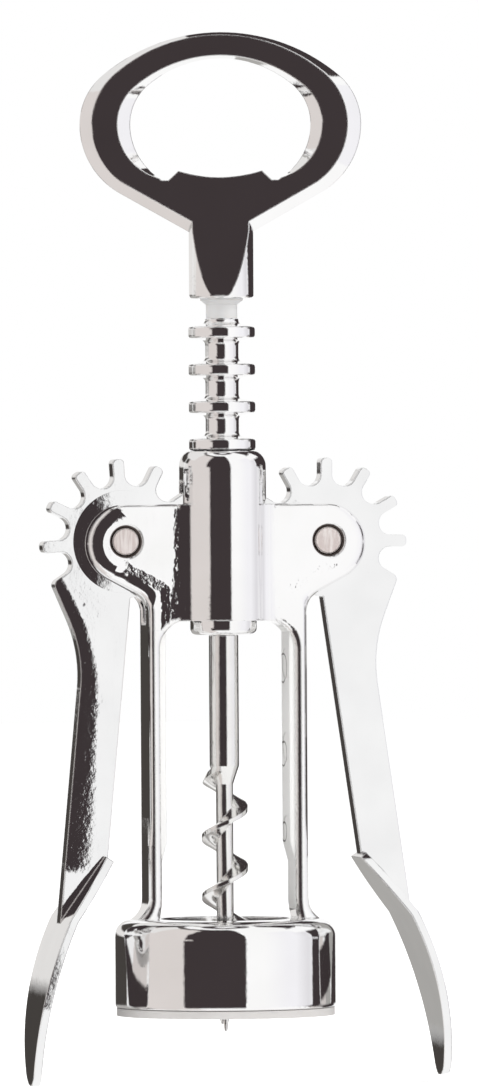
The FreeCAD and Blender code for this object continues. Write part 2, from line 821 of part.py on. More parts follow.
def build_worm():
    body = new_body("worm")
    spindle_r = size("spindle_dia") / 2
    shaft_r = size("shaft_dia") / 2
    core_r = size("worm_core_dia") / 2
    blade_r = size("worm_dia") / 2
    tip_r = size("worm_tip_dia") / 2
    half_root, half_edge = size("blade_root") / 2, size("blade_edge") / 2
    shaft_end = -size("shaft_length")
    end = shaft_end - size("worm_length")
    point = end + size("worm_point")
    runout = shaft_end - size("worm_runout")

    core = new_sketch(body, "XZ_Plane", "core_outline")
    add_outline(core, [
        (0, spindle_length),
        (spindle_r, spindle_length),
        (spindle_r, 0),
        (shaft_r, 0),
        (shaft_r, shaft_end),
        (core_r, runout),
        (core_r, point),
        (tip_r, end),
        (0, end),
    ])
    revolve(body, core, "core")

    section = new_sketch(body, "XZ_Plane", "blade_section")
    heart = core_r / 2
    add_outline(section, [
        (heart, end - half_root),
        (blade_r, end - half_edge),
        (blade_r, end + half_edge),
        (heart, end + half_root),
    ])
    blade = body.newObject("PartDesign::AdditiveHelix", "blade")
    blade.Profile = section
    blade.ReferenceAxis = (section, ["V_Axis"])
    blade.Mode = "pitch-height-angle"
    bind(blade, "Pitch", size("worm_pitch"))
    bind(blade, "Height", size("worm_length"))
    doc.recompute()

    clear = blade_r * 1.2
    over = size("blade_root")
    ends = new_sketch(body, "XZ_Plane", "blade_ends")
    add_outline(ends, [
        (0, end),
        (tip_r, end),
        (blade_r, point),
        (clear, point),
        (clear, end - over),
        (0, end - over),
    ])
    add_outline(ends, [
        (shaft_r, shaft_end + over),
        (shaft_r, shaft_end),
        (blade_r, runout),
        (clear, runout),
        (clear, shaft_end + over),
    ])
    revolve(body, ends, "blade_ends_cut", cut=True)

    body.Placement.Rotation = Rotation(Vector(0, 0, 1), size("worm_turn").number)
    bind(body, ".Placement.Rotation.Angle", size("worm_turn"))
    bind(body, ".Placement.Base.z", size("rack_bottom") - size("end_play"))
    doc.recompute()
    return body


# ---- sleeve ----

def build_sleeve():
    body = new_body("sleeve")
    inner = size("spindle_dia") / 2 + size("spindle_clearance")
    outer, flange = size("sleeve_dia") / 2, size("flange_dia") / 2
    top = size("sleeve_length")
    rim = top - size("flange_edge")
    profile = new_sketch(body, "XZ_Plane", "sleeve_profile")
    add_outline(profile, [
        (inner, 0),
        (outer, 0),
        (outer, rim - size("flange_cone")),
        (flange, rim),
        (flange, top),
        (inner, top),
    ])
    revolve(body, profile, "sleeve_tube")
    bind(body, ".Placement.Base.z", rack_top + size("end_play"))
    doc.recompute()
    return body


# ---- handle: a round neck flattened into an oval ring with a cap lifter ----

def side_and_top(half, rise):
    """Radii of the side and top arcs of half an oval, and where they meet."""
    spread = (half - rise) / (cos(size("oval_split")) + sin(size("oval_split")) - 1)
    side_r = rise - spread * (1 - sin(size("oval_split")))
    top_r = side_r + spread
    meet = (half - side_r + side_r * cos(size("oval_split")), side_r * sin(size("oval_split")))
    return side_r, top_r, meet


def add_ring_outline(sketch, inset_side, inset_top, inset_slope):
    """Outer outline of the handle's ring, as seen from the front."""
    level = size("ring_level")
    half = size("ring_outer_half") - inset_side
    rise = size("ring_outer_rise") - inset_top
    side_r, top_r, (meet_x, meet_z) = side_and_top(half, rise)
    slope = size("ring_slope")
    lower_r = size("ring_lower_radius") - inset_slope
    low_x = half - lower_r + lower_r * sin(slope)
    low_z = -lower_r * cos(slope)
    stem = size("stem_half") - inset_slope / 4
    stem_z = low_z - (low_x - stem) * tan(slope)
    foot = size("stem_foot")
    add_outline(sketch, [
        (half, level, side_r),
        (meet_x, level + meet_z, top_r),
        (0, level + rise, top_r),
        (-meet_x, level + meet_z, side_r),
        (-half, level, lower_r),
        (-low_x, level + low_z),
        (-stem, level + stem_z),
        (-stem, foot),
        (stem, foot),
        (stem, level + stem_z),
        (low_x, level + low_z, lower_r),
    ])


def add_hole_outline(sketch, outset_side, outset_top):
    """The ring's hole with the cap lifter's two prongs at its foot."""
    level = size("ring_level")
    half = size("hole_half") + outset_side
    rise = size("hole_rise") + outset_top
    side_r, top_r, (meet_x, meet_z) = side_and_top(half, rise)
    prong, lip = size("lifter_half"), size("lifter_level")
    notch_x = prong + size("notch_width")
    notch_z = lip - size("notch_depth")
    flank_x = prong + size("notch_width") * 0.6
    foot_x, foot_z = notch_x + size("notch_width") / 6, notch_z + size("notch_depth") / 4
    drop = level - foot_z
    reach = half - foot_x
    lower_r = (drop * drop + reach * reach) / (2 * reach)
    sag = size("lifter_sag")
    lip_r = (prong * prong + sag * sag) / (2 * sag)
    add_outline(sketch, [
        (half, level, side_r),
        (meet_x, level + meet_z, top_r),
        (0, level + rise, top_r),
        (-meet_x, level + meet_z, side_r),
        (-half, level, lower_r),
        (-foot_x, foot_z),
        (-notch_x, notch_z),
        (-flank_x, notch_z),
        (-prong, lip, lip_r),
        (prong, lip),
        (flank_x, notch_z),
        (notch_x, notch_z),
        (foot_x, foot_z, lower_r),
    ])


def build_handle():
    body = new_body("handle")
    neck_r = size("neck_dia") / 2
    half_flat = size("handle_thickness") / 2
    half_edge = size("handle_edge") / 2

    disc = new_sketch(body, "XY_Plane", "neck_circle")
    add_circle(disc, 0, 0, neck_r)
    neck = pad(body, disc, "neck", size("neck_length") + half_flat, symmetric=False)
    fillet(body, neck, "neck_edge_round", size("neck_edge"),
           lambda edge: lies_on(edge, "Z", 0))

    flats = new_sketch(body, "YZ_Plane", "neck_flats")
    top = size("neck_length") + half_flat
    start = size("tongue_foot")
    full = neck_r * 1.1
    low_y = root(neck_r * neck_r - size("tongue_tip") * size("tongue_tip"))
    for sign in (1, -1):
        add_outline(flats, [
            (sign * low_y, start),
            (sign * half_flat, size("neck_length")),
            (sign * half_flat, top + half_flat),
            (sign * full, top + half_flat),
            (sign * full, start - size("neck_edge")),
            (sign * (low_y + size("neck_edge")), start - size("neck_edge")),
        ])
    pocket(body, flats, "neck_flats_cut")

    levels = ((-half_flat, True), (-half_edge, False), (half_edge, False), (half_flat, True))
    outlines = []
    for number, (level, flat) in enumerate(levels):
        outline = new_sketch(body, "XZ_Plane", f"ring_outline_{number}", level)
        if flat:
            add_ring_outline(outline, size("outer_bevel"), size("top_bevel"), size("slope_bevel"))
        else:
            add_ring_outline(outline, as_size(0), as_size(0), as_size(0))
        outlines.append(outline)
    ring = body.newObject("PartDesign::AdditiveLoft", "ring")
    ring.Profile = outlines[0]
    ring.Sections = outlines[1:]
    ring.Ruled = True
    doc.recompute()

    holes = []
    for number, (level, flat) in enumerate(levels):
        hole = new_sketch(body, "XZ_Plane", f"hole_outline_{number}", level)
        if flat:
            add_hole_outline(hole, size("inner_bevel"), size("top_bevel"))
        else:
            add_hole_outline(hole, as_size(0), as_size(0))
        holes.append(hole)
    cut = body.newObject("PartDesign::SubtractiveLoft", "ring_hole")
    cut.Profile = holes[0]
    cut.Sections = holes[1:]
    cut.Ruled = True
    doc.recompute()

    socket = new_sketch(body, "XY_Plane", "socket_circle")
    add_circle(socket, 0, 0, size("spindle_dia") / 2)
    pocket(body, socket, "spindle_socket", size("spindle_grip") + size("end_play"),
           symmetric=False, reverse=True)

    body.Placement.Rotation = Rotation(Vector(0, 0, 1), size("handle_turn").number)
    bind(body, ".Placement.Rotation.Angle", size("handle_turn"))
    bind(body, ".Placement.Base.z", handle_bottom)
    doc.recompute()
    return body


# ---- places that several pieces share ----

pitch_radius = size("teeth_per_turn") * size("ring_pitch") / (2 * math.pi)
pivot_x = pitch_radius + size("mesh_line")
tip_radius = pitch_radius + size("tooth_top")
root_radius = pitch_radius - size("tooth_foot")
bell_r = size("bell_dia") / 2
bell_top = size("lip_height") + size("bell_height")
bottle_r = bell_r - size("bell_wall") - size("liner_wall")
ledge_r = bottle_r - size("ledge_reach")
bore_r = size("ring_dia") / 2 + size("ring_clearance")
ear_top = size("pivot_z") - size("ear_drop") + size("ear_radius")
leg_outer = size("leg_x") + size("leg_width") / 2
leg_inner = size("leg_x") - size("leg_width") / 2
slot_width = size("plate_thickness") + 2 * size("plate_side_gap")
slot_radius = tip_radius + size("slot_clearance")
top_ring = size("collar_level") + (size("ring_count") - 1) * size("ring_pitch")
rack_length = ring_side(top_ring + size("ring_land") / 2, 1)[1][1] + size("rack_neck")
rack_top = size("rack_bottom") + rack_length
handle_bottom = rack_top + size("end_play") + size("sleeve_length")
spindle_length = (rack_length + 2 * size("end_play") + size("sleeve_length")
                  + size("spindle_grip"))
# the tooth between the third and fourth ring, then the gap two teeth below it
ring_gap = size("rack_bottom") + size("collar_level") + 2.5 * size("ring_pitch")
tooth_angle = (ring_gap - size("pivot_z")) / pitch_radius * (180 / math.pi)
tooth_step = 360 / size("teeth_per_turn")
first_gap = tooth_angle + size("arm_slope") - 1.5 * tooth_step
heel_angle = first_gap + (size("gap_count") - 1) * tooth_step + size("heel_past_gap")

build_frame()
build_liner()
build_pin("pin_left", -1)
build_pin("pin_right", 1)
build_rack()
build_arm("arm_left", -1)
build_arm("arm_right", 1)
build_worm()
build_sleeve()
build_handle()
doc.recompute()

NODES = ("frame", "bell_liner", "pin_left", "pin_right", "rack", "arm_left", "arm_right",
         "worm", "sleeve", "handle")
for item in doc.Objects:
    if "Invalid" in item.State or "Error" in item.State:
        raise SystemExit(f"{item.Name} failed: {item.State}")
os.makedirs("parts", exist_ok=True)
for label in NODES:
    node = doc.getObjectsByLabel(label)[0]
    shape = node.Shape
    if shape.isNull() or not shape.isValid():
        raise SystemExit(f"{label} has no valid shape")
    print(label, len(shape.Solids), round(shape.Volume, 1))
    shape.exportStep(f"parts/{label}.step")
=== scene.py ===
import math

import bmesh
import bpy
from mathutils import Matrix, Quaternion, Vector


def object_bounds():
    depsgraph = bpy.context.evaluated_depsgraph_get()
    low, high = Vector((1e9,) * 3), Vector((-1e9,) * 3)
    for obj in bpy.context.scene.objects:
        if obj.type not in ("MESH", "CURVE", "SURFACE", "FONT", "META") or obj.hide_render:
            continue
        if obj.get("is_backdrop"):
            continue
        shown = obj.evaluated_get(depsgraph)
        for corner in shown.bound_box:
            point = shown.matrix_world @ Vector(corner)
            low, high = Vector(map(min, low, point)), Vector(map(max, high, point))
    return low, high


# Wing corkscrew in chrome on a white table. Lengths are metres, angles are degrees.

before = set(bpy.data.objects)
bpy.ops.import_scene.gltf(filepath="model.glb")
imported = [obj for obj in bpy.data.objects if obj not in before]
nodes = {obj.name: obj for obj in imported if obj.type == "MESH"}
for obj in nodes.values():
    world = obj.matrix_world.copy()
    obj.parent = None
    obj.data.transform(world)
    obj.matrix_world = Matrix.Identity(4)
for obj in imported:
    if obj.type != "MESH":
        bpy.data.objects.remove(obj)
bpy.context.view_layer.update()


def newMaterial(name, kind="ShaderNodeBsdfPrincipled"):
    material = bpy.data.materials.new(name)
    material.use_nodes = True
    tree = material.node_tree
    tree.nodes.clear()
    out = tree.nodes.new("ShaderNodeOutputMaterial")
    shader = tree.nodes.new(kind)
    tree.links.new(shader.outputs[0], out.inputs["Surface"])
    return material, tree, shader


def setInputs(tree, node, inputs):
    # an input takes a link or a plain value
    for name, value in inputs.items():
        if isinstance(value, bpy.types.NodeSocket):
            tree.links.new(value, node.inputs[name])
        else:
            node.inputs[name].default_value = value


def addNode(tree, kind, inputs=None, **settings):
    node = tree.nodes.new(kind)
    for name, value in settings.items():
        setattr(node, name, value)
    setInputs(tree, node, inputs or {})
    return node


def objectPlace(tree, stretch=(1, 1, 1)):
    # the piece's own coordinates, stretched for grain that runs one way
    place = addNode(tree, "ShaderNodeTexCoord").outputs["Object"]
    return addNode(tree, "ShaderNodeMapping", {"Vector": place, "Scale": stretch}).outputs["Vector"]


def axesOf(tree, place):
    return addNode(tree, "ShaderNodeSeparateXYZ", {"Vector": place}).outputs


def noise(tree, place, scale, detail=2.0):
    return addNode(tree, "ShaderNodeTexNoise", {
        "Vector": place, "Scale": scale, "Detail": detail}).outputs["Fac"]


def bump(tree, height, depth, before=None):
    # depth is the real height of the relief
    inputs = {"Height": height, "Distance": depth, "Strength": 1.0}
    if before is not None:
        inputs["Normal"] = before
    return addNode(tree, "ShaderNodeBump", inputs).outputs["Normal"]


def ramp(tree, value, low, high, to=(0.0, 1.0)):
    # straight from to[0] at low to to[1] at high, and level past both
    return addNode(tree, "ShaderNodeMapRange", {
        "Value": value, "From Min": low, "From Max": high,
        "To Min": to[0], "To Max": to[1]}).outputs["Result"]


def calc(tree, operation, *values):
    node = addNode(tree, "ShaderNodeMath", dict(enumerate(values)), operation=operation)
    return node.outputs["Value"]


def times(tree, product, *factors):
    for factor in factors:
        product = calc(tree, "MULTIPLY", product, factor)
    return product


def distance(tree, across, upward):
    return calc(tree, "SQRT", calc(
        tree, "ADD", times(tree, across, across), times(tree, upward, upward)))


def turned(tree, across, upward, sine, cosine):
    # the same two distances along axes that are turned by an angle
    outward = calc(tree, "ADD", times(tree, across, cosine), times(tree, upward, sine))
    along = calc(tree, "SUBTRACT", times(tree, upward, cosine), times(tree, across, sine))
    return outward, along


def blend(tree, share, first, second):
    # first colour where the share is 0, second where it is 1
    first, second = ((*colour, 1) if isinstance(colour, tuple) else colour
                     for colour in (first, second))
    return addNode(tree, "ShaderNodeMix", {0: share, 6: first, 7: second},
                   data_type="RGBA").outputs[2]


def pits(tree, place, spacing, share, radius=0.22):
    # small round hollows in some of the cells, their radius counted in cells
    cells = addNode(tree, "ShaderNodeTexVoronoi", {"Vector": place, "Scale": 1 / spacing})
    chosen = addNode(tree, "ShaderNodeSeparateColor", {"Color": cells.outputs["Color"]})
    deep = ramp(tree, cells.outputs["Distance"], 0.0, radius, (1.0, 0.0))
    return times(tree, deep, calc(tree, "GREATER_THAN", chosen.outputs["Red"], 1 - share))


def buffedEdge(tree, inward, width, most):
    # 0 inside, and growing over the width to 1 at the outline and a little past it
    edge = calc(tree, "SUBTRACT", 1.0, calc(tree, "DIVIDE", inward, width))
    edge = ramp(tree, edge, 0.0, most, (0.0, most))
    return times(tree, edge, edge)


def chrome(name, look, marks=None, rollOff=None):
    material, tree, shader = newMaterial(name)
    place = objectPlace(tree)
    # plating: a faint cloud in its colour
    cloud = ramp(tree, noise(tree, place, look["cloudScale"]), *look["cloudEdges"])
    tint = blend(tree, cloud, look["colour"], look["cloudColour"])
    # polish: mostly mirror, duller in fine streaks
    streak = noise(tree, objectPlace(tree, look["streakStretch"]), look["streakScale"], detail=3.0)
    dull = ramp(tree, streak, *look["streakEdges"], look["roughness"])
    metal = 1.0
    if marks:
        tint, dull, metal = marks(tree, place, tint, dull)
    # form: soft edges, faces buffed down towards them, slow waves of the casting,
    # orange peel, and a few pits
    bevel = addNode(tree, "ShaderNodeBevel", {"Radius": look["softEdge"]}, samples=4)
    form = bevel.outputs["Normal"]
    if rollOff:
        form = rollOff(tree, place, form)
    waves = noise(tree, place, look["waveScale"], detail=1.0)
    form = bump(tree, waves, look["waveDepth"], form)
    peel = noise(tree, place, look["peelScale"], detail=3.0)
    form = bump(tree, peel, look["peelDepth"], form)
    hollows = pits(tree, place, look["pitSpacing"], look["pitShare"])
    form = bump(tree, hollows, -look["pitDepth"], form)
    setInputs(tree, shader, {
        "Base Color": tint, "Metallic": metal, "Roughness": dull, "Normal": form})
    return material


earRoll = {
    # the outline: round ear, sloped underside and leg, and how softly they join
    "earX": 0.018787, "earZ": 0.0858, "earRadius": 0.0071, "slope": 28.5, "legOuter": 0.01485,
    "underSoft": 0.001, "legSoft": 0.002, "earSoft": 0.0012,
    # the buffed edge: its width, narrow by the legs, and where it fades out
    "narrow": 0.0009, "wide": 0.0029, "narrowBelow": 0.074, "wideAbove": 0.079,
    "edgeMost": 1.2, "depth": 0.0007,
    "earTopFade": (0.0005, 0.0050), "bellFade": (0.031, 0.036),
    # the step beside the underside, where it ends at the corner and at its foot
    "stepFrom": 0.0025, "stepTo": 0.0042, "stepDepth": 0.00013,
    "stepCorner": (0.0005, 0.0030), "stepFoot": (0.0665, 0.0700),
    # the hollow beside the barrel, wider at its foot
    "barrelSide": 0.0079, "hollowTop": 0.0100, "hollowFoot": 0.0114, "hollowWide": 0.0025,
    "hollowDepth": 0.00022, "hollowHeights": (0.070, 0.082), "hollowFade": (0.058, 0.062),
    "ragged": 0.0012, "raggedScale": 900.0, "raggedGrowth": 0.001,
}


def rollEars(tree, place, form):
    values = earRoll
    axes = axesOf(tree, place)
    side, height = calc(tree, "ABSOLUTE", axes["X"]), axes["Z"]
    # distance in from the outline of ear, underside and leg
    across = calc(tree, "SUBTRACT", side, values["earX"])
    upward = calc(tree, "SUBTRACT", height, values["earZ"])
    ear = calc(tree, "SUBTRACT", values["earRadius"], distance(tree, across, upward))
    slope = math.radians(values["slope"])
    footX = values["earX"] + values["earRadius"] * math.sin(slope)
    footZ = values["earZ"] - values["earRadius"] * math.cos(slope)
    outward, line = turned(tree, calc(tree, "SUBTRACT", side, footX),
                           calc(tree, "SUBTRACT", height, footZ), math.sin(slope), math.cos(slope))
    past = times(tree, outward, -1.0)
    under = calc(tree, "SMOOTH_MIN", line, past, values["underSoft"])
    leg = calc(tree, "SUBTRACT", values["legOuter"], side)
    inward = calc(tree, "SMOOTH_MAX", under, leg, values["legSoft"])
    inward = calc(tree, "SMOOTH_MAX", inward, ear, values["earSoft"])
    width = ramp(tree, height, values["narrowBelow"], values["wideAbove"],
                 (values["narrow"], values["wide"]))
    earTop = ramp(tree, calc(tree, "SUBTRACT", upward, across), *values["earTopFade"], (1.0, 0.0))
    edge = times(tree, buffedEdge(tree, inward, width, values["edgeMost"]),
                 earTop, ramp(tree, height, *values["bellFade"]))
    form = bump(tree, edge, -values["depth"], form)
    # raggedness for the step and the hollow, none at the barrel; noise is 0.5 on average
    uneven = calc(tree, "SUBTRACT", noise(tree, place, values["raggedScale"], detail=3.0), 0.5)
    barrel = values["barrelSide"]
    uneven = times(tree, uneven, ramp(
        tree, side, barrel, barrel + values["raggedGrowth"], (0.0, values["ragged"])))
    # a soft step follows the underside and turns down beside the barrel
    plate = calc(tree, "ADD", calc(tree, "SMOOTH_MAX", line, leg, values["legSoft"]), uneven)
    step = times(tree, ramp(tree, plate, values["stepFrom"], values["stepTo"], (1.0, 0.0)),
                 ramp(tree, past, *values["stepCorner"]), ramp(tree, height, *values["stepFoot"]))
    form = bump(tree, step, -values["stepDepth"], form)
    # the face rises in a ragged hollow towards the barrel
    start = calc(tree, "ADD", uneven, ramp(
        tree, height, *values["hollowHeights"], (values["hollowFoot"], values["hollowTop"])))
    climb = calc(tree, "SUBTRACT", start, calc(tree, "MAXIMUM", side, barrel))
    climb = calc(tree, "MAXIMUM", calc(tree, "DIVIDE", climb, values["hollowWide"]), 0.0)
    climb = times(tree, climb, climb, ramp(tree, height, *values["hollowFade"]))
    return bump(tree, climb, values["hollowDepth"], form)


armRoll = {
    # the arms lean out from their pivots, and change over at the middle
    "pivotX": 0.018787, "pivotZ": 0.0862, "leanLeft": 5.35, "leanRight": 8.25, "middle": 0.001,
    # the outer edge, which curves outward above the neck's foot; heights are from the pivot
    "outer": 0.00565, "neckFoot": -0.0271, "neckRadius": 0.025,
    "topAt": -0.018, "wideTop": 0.0030, "footAt": -0.044, "wideFoot": 0.0056,
    "edgeMost": 1.2, "depth": 0.00013, "ragged": 0.0006, "raggedScale": 1100.0,
    "hubFade": (-0.004, -0.008), "foot": -0.0600, "footSoft": 0.001,
    # the hub round the ear
    "hubFrom": 0.0066, "hubTo": 0.0093, "hubDepth": 0.00008,
}


def rollArms(tree, place, form):
    values = armRoll
    axes = axesOf(tree, place)
    across = calc(tree, "SUBTRACT", calc(tree, "ABSOLUTE", axes["X"]), values["pivotX"])
    upward = calc(tree, "SUBTRACT", axes["Z"], values["pivotZ"])
    # the same point with the arm hanging straight
    lean = ramp(tree, axes["X"], -values["middle"], values["middle"],
                (math.radians(values["leanLeft"]), math.radians(values["leanRight"])))
    outward, along = turned(
        tree, across, upward, calc(tree, "SINE", lean), calc(tree, "COSINE", lean))
    # distance in from the outer edge
    neck = calc(tree, "MAXIMUM", calc(tree, "SUBTRACT", along, values["neckFoot"]), 0.0)
    edgeAt = calc(tree, "ADD", values["outer"], calc(
        tree, "DIVIDE", times(tree, neck, neck), 2 * values["neckRadius"]))
    uneven = times(tree, noise(tree, place, values["raggedScale"], detail=3.0), values["ragged"])
    inward = calc(tree, "ADD", calc(tree, "SUBTRACT", edgeAt, outward), uneven)
    width = ramp(tree, along, values["topAt"], values["footAt"],
                 (values["wideTop"], values["wideFoot"]))
    foot, soft = values["foot"], values["footSoft"]
    edge = times(tree, buffedEdge(tree, inward, width, values["edgeMost"]),
                 ramp(tree, along, *values["hubFade"]), ramp(tree, along, foot - soft, foot + soft))
    form = bump(tree, edge, -values["depth"], form)
    # the hub falls away round the ear
    hub = ramp(tree, distance(tree, across, upward), values["hubFrom"], values["hubTo"])
    return bump(tree, hub, -values["hubDepth"], form)


frameMarks = {
    # painted shade round the pins: a dark band in the countersink, standing in for the groove's
    # shade
    "pivotX": 0.018787, "pivotZ": 0.0862,
    "ringInner": 0.0025, "ringInnerSoft": 0.0001, "ringOuter": 0.0029, "ringOuterSoft": 0.00015,
    "ringShadeColour": (0.10, 0.085, 0.08), "ringRough": 0.3,
    # pads inside the legs
    "padX": 0.0125, "padDeep": 0.002, "padLow": 0.0175, "padHigh": 0.0705, "padHalf": 0.0033,
    "padColour": (0.95, 0.945, 0.93), "padRough": 0.5, "padMetal": 0.15,
    # marks of the ejectors, with the height and radius of each
    "punches": ((0.0629, 0.0026), (0.0473, 0.0022), (0.0331, 0.0017)),
    "punchColour": (0.26, 0.25, 0.24), "punchBack": 0.0021, "punchLine": 0.00016,
}


def markFrame(tree, place, tint, dull):
    values = frameMarks
    axes = axesOf(tree, place)
    side, height = calc(tree, "ABSOLUTE", axes["X"]), axes["Z"]
    # painted shade: a dark band in the countersink round each pin, where the groove is shaded
    reach = distance(tree, calc(tree, "SUBTRACT", side, values["pivotX"]),
                     calc(tree, "SUBTRACT", height, values["pivotZ"]))
    inner, outer = values["ringInner"], values["ringOuter"]
    ringShade = times(tree, ramp(tree, reach, inner - values["ringInnerSoft"], inner),
                 ramp(tree, reach, outer, outer + values["ringOuterSoft"], (1.0, 0.0)))
    # painted shade: the countersink band is darkened in the colour itself
    tint = blend(tree, ringShade, tint, values["ringShadeColour"])
    dull = calc(tree, "MAXIMUM", dull, times(tree, ringShade, values["ringRough"]))
    # unpolished pads inside the legs
    pad = times(tree, calc(tree, "LESS_THAN", side, values["padX"]),
                calc(tree, "LESS_THAN", calc(tree, "ABSOLUTE", axes["Y"]), values["padHalf"]),
                calc(tree, "GREATER_THAN", side, values["padX"] - values["padDeep"]),
                calc(tree, "LESS_THAN", height, values["padHigh"]),
                calc(tree, "GREATER_THAN", height, values["padLow"]))
    tint = blend(tree, pad, tint, values["padColour"])
    # round marks that the mould's ejectors left on the pads
    back = calc(tree, "SUBTRACT", axes["Y"], values["punchBack"])
    for punchHeight, radius in values["punches"]:
        away = distance(tree, back, calc(tree, "SUBTRACT", height, punchHeight))
        line = calc(tree, "COMPARE", away, radius, values["punchLine"])
        tint = blend(tree, times(tree, line, pad), tint, values["punchColour"])
    dull = calc(tree, "MAXIMUM", dull, times(tree, pad, values["padRough"]))
    return tint, dull, ramp(tree, pad, 0.0, 1.0, (1.0, values["padMetal"]))


castLook = {
    "colour": (0.965, 0.96, 0.96), "cloudColour": (0.93, 0.925, 0.92),
    "cloudScale": 90.0, "cloudEdges": (0.35, 0.7),
    "streakStretch": (1, 1, 0.15), "streakScale": 900.0, "streakEdges": (0.4, 0.75),
    "roughness": (0.02, 0.06), "softEdge": 0.0005,
    "waveScale": 110.0, "waveDepth": 0.000026, "peelScale": 1300.0, "peelDepth": 0.000006,
    "pitSpacing": 0.0024, "pitShare": 0.02, "pitDepth": 0.000005,
}
armLook = dict(castLook, colour=(0.91, 0.91, 0.91), cloudColour=(0.86, 0.86, 0.862),
               softEdge=0.0004, waveScale=120.0, waveDepth=0.00003, peelScale=1500.0,
               peelDepth=0.000004)
handleLook = dict(castLook, softEdge=0.0004)
rackLook = dict(castLook, streakStretch=(0.15, 0.15, 1), streakScale=1600.0, pitShare=0.0,
                softEdge=0.0004, waveScale=240.0, waveDepth=0.00002, peelDepth=0.000002)
wormLook = dict(castLook, roughness=(0.10, 0.20), waveScale=300.0, waveDepth=0.00003,
                softEdge=0.0003, colour=(0.93, 0.925, 0.92), cloudColour=(0.85, 0.84, 0.82))


pinLook = {
    "colour": (0.93, 0.86, 0.83), "dark": (0.76, 0.67, 0.64), "metal": 0.6, "roughness": 0.4,
    "sawStretch": (1, 1, 0.12), "sawScale": 1900.0, "sawEdges": (0.4, 0.62), "sawDepth": 0.000008,
}


def pinSteel():
    # the saw's marks in the pins' ends
    material, tree, shader = newMaterial("pinSteel")
    marks = noise(tree, objectPlace(tree, pinLook["sawStretch"]), pinLook["sawScale"])
    lit = ramp(tree, marks, *pinLook["sawEdges"])
    setInputs(tree, shader, {
        "Base Color": blend(tree, lit, pinLook["dark"], pinLook["colour"]),
        "Metallic": pinLook["metal"], "Roughness": pinLook["roughness"],
        "Normal": bump(tree, marks, pinLook["sawDepth"])})
    return material


linerLook = {
    "colour": (0.66, 0.64, 0.625), "cloudColour": (0.60, 0.58, 0.565),
    "cloudScale": 120.0, "cloudEdges": (0.3, 0.7), "roughness": 0.45, "ior": 1.5,
    "milk": 0.15, "milkReach": (0.002, 0.0018, 0.0016),
    "grainScale": 3000.0, "grainDepth": 0.000006,
}
sleeveLook = dict(linerLook, colour=(0.80, 0.795, 0.79), cloudColour=(0.75, 0.745, 0.74),
                  roughness=0.35, milk=0.4)


def plastic(name, look):
    material, tree, shader = newMaterial(name)
    place = objectPlace(tree)
    cloud = ramp(tree, noise(tree, place, look["cloudScale"]), *look["cloudEdges"])
    grain = noise(tree, place, look["grainScale"])
    setInputs(tree, shader, {
        "Base Color": blend(tree, cloud, look["colour"], look["cloudColour"]),
        "Roughness": look["roughness"], "IOR": look["ior"],
        "Subsurface Weight": look["milk"], "Subsurface Radius": look["milkReach"],
        "Normal": bump(tree, grain, look["grainDepth"])})
    return material


finishes = {
    "frame": chrome("castChrome", castLook, markFrame, rollEars),
    "arm_left": chrome("armChrome", armLook, None, rollArms),
    "handle": chrome("handleChrome", handleLook),
    "rack": chrome("rackChrome", rackLook),
    "worm": chrome("wormChrome", wormLook),
    "pin_left": pinSteel(),
    "bell_liner": plastic("linerPlastic", linerLook),
    "sleeve": plastic("sleevePlastic", sleeveLook),
}
finishes["arm_right"] = finishes["arm_left"]
finishes["pin_right"] = finishes["pin_left"]
for nodeName, finish in finishes.items():
    slots = nodes[nodeName].data.materials
    slots.clear()
    slots.append(finish)
print("finishes given to", len(finishes), "nodes")


def around(azimuth, radius, height):
    # a point that far round from the object's front
    turn = math.radians(azimuth)
    return Vector((math.sin(turn) * radius, -math.cos(turn) * radius, height))


def addObject(name, data):
    thing = bpy.data.objects.new(name, data)
    bpy.context.scene.collection.objects.link(thing)
    return thing


def aimAt(thing, target, roll=0.0):
    toward = target - thing.location
    thing.rotation_mode = "QUATERNION"
    leaning = Quaternion((0, 0, 1), math.radians(-roll))
    thing.rotation_quaternion = toward.to_track_quat("-Z", "Y") @ leaning
    return toward.length


cameraValues = {
    "azimuth": -12.0, "distance": 2.4, "height": 0.105,
    "aimHeight": 0.0855, "aimRight": 0.0030,
    "frameTall": 0.198,  # height of the picture at the object
    "roll": 0.35,
}


def makeCamera(values):
    data = bpy.data.cameras.new("camera")
    camera = addObject("camera", data)
    rightward = around(values["azimuth"] + 90, values["aimRight"], 0)
    camera.location = around(values["azimuth"], values["distance"], values["height"]) + rightward
    away = aimAt(camera, rightward + Vector((0, 0, values["aimHeight"])), values["roll"])
    data.lens = data.sensor_width * away / values["frameTall"]
    bpy.context.scene.camera = camera


makeCamera(cameraValues)
print("camera set")


studio = {
    "middle": 0.09,  # height that the dome and the lamps go by
    "tableDrop": 0.0004, "tableSize": 6.0, "tableColour": (0.93, 0.93, 0.93), "tableRough": 0.9,
    "tableGlow": 0.52,
    "lampSize": 0.9, "lampDistance": 1.3, "lampPower": 9.0,
    # name, azimuth from the camera, elevation and share of the power
    "lamps": (("lampRight", 55, 35, 1.0), ("lampLeft", -70, 30, 0.6), ("lampTop", 10, 80, 0.7)),
    "worldFill": 0.55,
}

